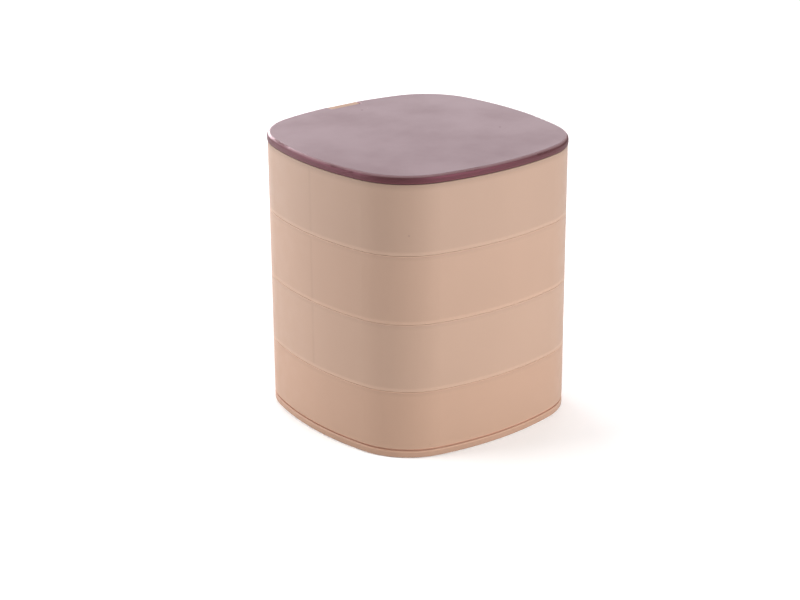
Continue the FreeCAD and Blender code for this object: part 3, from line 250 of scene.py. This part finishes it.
def lid_plastic(name, colour):
    """Smooth plastic with slight waviness, handling haze, dust and fine scratches, with painted light along
    the rim and at the hinge notch.
    """
    t = Tree(name)
    cloud = t.noise(22.0, 3.0, 0.55, distortion=0.4)
    base = t.mix(t.span(cloud, 0.35, 0.7), tinted(colour, 0.98), tinted(colour, 1.03))
    z = t.axes()[2]
    # painted reflection: the lowest strip of the rim is lighter, standing in for the floor's light on its
    # lower round
    base = t.mix(t.span(z, 0.1173, 0.1177, 1.0, 0.0), base, tinted(colour, 1.30))
    # painted highlight along the round at the top of the rim; the rim below it is less polished
    edge = t.math("MULTIPLY", t.span(z, 0.1192, 0.1198), t.span(z, 0.11992, 0.11999, 1.0, 0.0))
    base = t.mix(edge, base, (0.21, 0.13, 0.135))
    # painted light at the hinge notch: a lighter lid colour lifts the shade of the gap beside the lug
    x, y = t.axes()[:2]
    beside = t.math("ABSOLUTE", t.math("SUBTRACT", x, HINGE_X))
    notch_light = t.math("MULTIPLY", t.span(beside, 0.0082, 0.0084, 1.0, 0.0), t.span(y, 0.0508, 0.0510))
    notch_light = t.math("MULTIPLY", notch_light, t.span(z, 0.1185, 0.1190, 0.0, 0.85))
    base = t.mix(notch_light, base, (0.30, 0.21, 0.215))
    dust = t.specks(160.0, 0.05, 0.00018)
    base = t.mix(t.math("MULTIPLY", dust, 0.55), base, (0.55, 0.47, 0.47))
    t.set("Base Color", base)
    haze = t.span(t.noise(30.0, 4.0, 0.6), 0.35, 0.75, 0.0, 0.07)
    pits = t.spot((0.0029, 0.0418, 0.1200), 0.0006)
    pits = t.math("MAXIMUM", pits, t.spot((0.0315, -0.0163, 0.1200), 0.0006))
    rough = t.math("ADD", haze, t.math("MULTIPLY", pits, 0.25))
    rough = t.math("ADD", rough, t.span(z, 0.1192, 0.1197, 0.20, 0.0))
    t.set("Roughness", t.math("ADD", rough, 0.30))
    t.set("IOR", 1.50)
    t.set("Specular IOR Level", 0.51)
    t.set("Specular Tint", (1.0, 0.30, 0.50, 1.0))
    wave = t.bump(t.noise(38.0, 1.0, 0.4), 0.0012, t.span(z, 0.1192, 0.1197, 0.0, 0.04))
    fine = t.bump(t.noise(1900.0, 2.0, 0.6), 0.00001, 0.2, wave)
    scratch = t.noise(1.0, 2.0, 0.6, t.stretched(900.0, 60.0, 900.0))
    line = t.span(scratch, 0.70, 0.76)
    t.set("Normal", t.bump(line, 0.00001, 0.15, fine))
    return t.material


# ---------------------------------------------------------------------------
# Metal, rubber, mirror, foam and spacer plastic
# ---------------------------------------------------------------------------
def steel(name, stretch, tone=0.62, rough=0.28):
    """Plated steel with drawing or turning marks across or along it."""
    t = Tree(name)
    marks = t.noise(1.0, 4.0, 0.6, t.stretched(*stretch))
    stain = t.noise(260.0, 3.0)
    base = t.mix(
        t.span(marks, 0.3, 0.7), (tone * 0.90, tone * 0.90, tone * 0.91), (tone, tone, tone * 1.01)
    )
    base = t.mix(t.span(stain, 0.55, 0.8, 0.0, 0.25), base, (tone * 0.8, tone * 0.77, tone * 0.72))
    t.set("Base Color", base)
    t.set("Metallic", 1.0)
    t.set("Roughness", t.span(marks, 0.3, 0.7, rough, rough + 0.12))
    t.set("Normal", t.bump(marks, 0.00001, 0.3))
    return t.material


def rubber(name):
    t = Tree(name)
    grain = t.noise(1500.0, 3.0, 0.6)
    bloom = t.noise(220.0, 2.0)
    base = t.mix(t.span(bloom, 0.4, 0.75), (0.018, 0.018, 0.019), (0.038, 0.037, 0.036))
    t.set("Base Color", base)
    t.set("Roughness", t.span(bloom, 0.3, 0.7, 0.72, 0.86))
    t.set("Normal", t.bump(grain, 0.00004, 0.5))
    return t.material


def mirror_glass(name):
    """Silvered glass with faint finger haze."""
    t = Tree(name)
    haze = t.noise(60.0, 4.0, 0.65)
    t.set("Base Color", t.mix(t.span(haze, 0.45, 0.8), (0.93, 0.94, 0.93), (0.86, 0.87, 0.86)))
    t.set("Metallic", 1.0)
    t.set("Roughness", t.span(haze, 0.45, 0.85, 0.015, 0.07))
    t.set("Coat Weight", 0.6)
    return t.material


def soft_white(name, colour, rough, grain, depth):
    t = Tree(name)
    cloud = t.noise(400.0, 3.0)
    t.set("Base Color", t.mix(t.span(cloud, 0.35, 0.7), tinted(colour, 0.94), colour))
    t.set("Roughness", t.span(cloud, 0.3, 0.7, rough, rough + 0.08))
    t.set("Normal", t.bump(t.noise(grain, 2.0, 0.6), depth, 0.4))
    return t.material


# ---------------------------------------------------------------------------
# Give every node its material
# ---------------------------------------------------------------------------
def dress(node, material):
    obj = NODES[node]
    slots = obj.material_slots
    if not slots:
        obj.data.materials.append(material)
    for slot in obj.material_slots:
        slot.material = material


for node, colour in TINT.items():
    dress(
        node,
        tray_plastic(
            "plastic_" + node,
            colour,
            DIVIDERS.get(node, ()),
            long_divider=node in DIVIDERS,
            edges=EDGES.get(node),
            marks=MARKS.get(node, ()),
        ),
    )
dress("lid_shell", lid_plastic("plastic_lid", LID_COLOUR))
dress("mirror_frame", lid_plastic("plastic_frame", tinted(LID_COLOUR, 1.1)))
dress("mirror", mirror_glass("silvered_glass"))
dress("mirror_tape", soft_white("foam_tape", (0.82, 0.81, 0.78), 0.75, 3000.0, 0.00003))
dress("spacer_washers", soft_white("spacer_plastic", (0.78, 0.78, 0.75), 0.42, 2200.0, 0.00001))
dress("pivot_rod", steel("steel_rod", (1500.0, 1500.0, 60.0), 0.66, 0.20))
dress("hinge_pin", steel("steel_pin", (80.0, 2500.0, 2500.0), 0.64, 0.24))
for node in ("upper_screw", "lower_screw", "cover_screws"):
    dress(node, steel("steel_" + node, (1800.0, 1800.0, 500.0), 0.60, 0.28))
for node in ("lower_washer", "retaining_washer", "disc_spring"):
    dress(node, steel("steel_" + node, (1200.0, 1200.0, 1200.0), 0.58, 0.30))
dress("rubber_feet", rubber("rubber_foot"))


# ---------------------------------------------------------------------------
# Floor
# ---------------------------------------------------------------------------
def floor_disc(radius, rings, spokes):
    vertices, faces = [(0.0, 0.0, 0.0)], []
    for r in range(1, rings + 1):
        for s in range(spokes):
            a = 2 * math.pi * s / spokes
            d = radius * r / rings
            vertices.append((d * math.cos(a), d * math.sin(a), 0.0))
    for s in range(spokes):
        faces.append((0, 1 + s, 1 + (s + 1) % spokes))
    for r in range(rings - 1):
        for s in range(spokes):
            a, b = 1 + r * spokes + s, 1 + r * spokes + (s + 1) % spokes
            faces.append((a, a + spokes, b + spokes, b))
    mesh = bpy.data.meshes.new("floor")
    mesh.from_pydata(vertices, [], faces)
    mesh.update()
    obj = bpy.data.objects.new("floor", mesh)
    scene.collection.objects.link(obj)
    return obj


floor = floor_disc(4.0, 12, 48)
floor.location.z = -0.0001
t = Tree("floor_white")
t.set("Base Color", t.mix(t.noise(6.0, 2.0), (0.94, 0.94, 0.94), (0.96, 0.96, 0.96)))
t.set("Roughness", 0.9)
t.set("Specular IOR Level", 0.1)
t.set("Emission Color", (1.0, 1.0, 1.0, 1.0))
t.set("Emission Strength", 0.09)
floor.data.materials.append(t.material)


# ---------------------------------------------------------------------------
# Light: a dim room with large soft boxes at both sides and behind the box
# ---------------------------------------------------------------------------
AZ, EL = math.radians(-38.493), math.radians(20.012)

ROOM, BACKDROP = 0.05, 1.0
BLUSH = (1.03, 0.95, 0.985)
SOFTBOXES = [
    # name, azimuth in degrees, elevation, distance, width, height, watts
    ("softbox_left", -130.0, 22.0, 0.9, 0.7, 0.7, 11.15),
    ("softbox_right", 12.0, 22.0, 0.9, 0.7, 0.7, 11.05),
    ("softbox_right_front", 48.0, 25.0, 0.9, 0.6, 0.6, 0.50),
    ("softbox_back_left", 170.0, 18.0, 1.2, 0.6, 0.5, 7.02, BLUSH),
    ("softbox_back_high", 142.0, 40.0, 1.2, 1.0, 1.0, 3.93, BLUSH),
    ("softbox_back", 142.0, 24.0, 1.2, 0.6, 0.5, 0.59, BLUSH),
    ("softbox_back_low", 142.0, 12.0, 1.2, 1.0, 0.34, 1.57, BLUSH),
    ("softbox_above", 0.0, 90.0, 1.1, 0.7, 0.7, 0.25),
]


def room():
    """A dim room, with a white backdrop where the camera sees past the floor."""
    world = bpy.data.worlds.new("room")
    world.use_nodes = True
    nodes, links = world.node_tree.nodes, world.node_tree.links
    nodes.clear()
    out = nodes.new("ShaderNodeOutputWorld")
    lit = nodes.new("ShaderNodeBackground")
    seen = nodes.new("ShaderNodeBackground")
    for node, strength in ((lit, ROOM), (seen, BACKDROP)):
        node.inputs["Color"].default_value = (1.0, 1.0, 1.0, 1.0)
        node.inputs["Strength"].default_value = strength
    ray = nodes.new("ShaderNodeLightPath")
    mix = nodes.new("ShaderNodeMixShader")
    links.new(ray.outputs["Is Camera Ray"], mix.inputs[0])
    links.new(lit.outputs[0], mix.inputs[1])
    links.new(seen.outputs[0], mix.inputs[2])
    links.new(mix.outputs[0], out.inputs["Surface"])
    scene.world = world


def softbox(name, azimuth, elevation, distance, width, height, watts, colour=(1.0, 1.0, 1.0)):
    light = bpy.data.lights.new(name, "AREA")
    light.shape = "RECTANGLE"
    light.size = width
    light.size_y = height
    light.energy = watts
    light.color = colour
    obj = bpy.data.objects.new(name, light)
    scene.collection.objects.link(obj)
    a, e = math.radians(azimuth), math.radians(elevation)
    away = Vector((math.sin(a) * math.cos(e), -math.cos(a) * math.cos(e), math.sin(e)))
    obj.location = Vector((0, 0, 0.06)) + away * distance
    obj.rotation_mode = "QUATERNION"
    obj.rotation_quaternion = away.to_track_quat("Z", "Y")
    obj.visible_camera = False
    return obj


room()
for box in SOFTBOXES:
    softbox(*box)


# ---------------------------------------------------------------------------
# Camera: fitted to the photograph
# ---------------------------------------------------------------------------
def camera():
    pan, tilt, roll = math.radians(-0.519), math.radians(-0.963), math.radians(-0.198)
    back = Vector((math.sin(AZ) * math.cos(EL), -math.cos(AZ) * math.cos(EL), math.sin(EL)))
    place = back * 0.8242 + Vector((0, 0, 0.06))
    ahead = -back
    right = ahead.cross(Vector((0, 0, 1))).normalized()
    up = right.cross(ahead)
    ahead, right = (
        ahead * math.cos(pan) + right * math.sin(pan),
        -ahead * math.sin(pan) + right * math.cos(pan),
    )
    ahead, up = (
        ahead * math.cos(tilt) + up * math.sin(tilt),
        -ahead * math.sin(tilt) + up * math.cos(tilt),
    )
    right, up = (
        right * math.cos(roll) + up * math.sin(roll),
        -right * math.sin(roll) + up * math.cos(roll),
    )
    data = bpy.data.cameras.new("camera")
    data.sensor_width = 36.0
    data.lens = 1930.6 * 36.0 / 800.0
    data.clip_start, data.clip_end = 0.02, 20.0
    obj = bpy.data.objects.new("camera", data)
    scene.collection.objects.link(obj)
    turn = Matrix((right, up, -ahead)).transposed()
    obj.matrix_world = Matrix.Translation(place) @ turn.to_4x4()
    scene.camera = obj


camera()
scene.view_settings.view_transform = "Standard"
scene.view_settings.look = "None"
scene.cycles.use_denoising = True
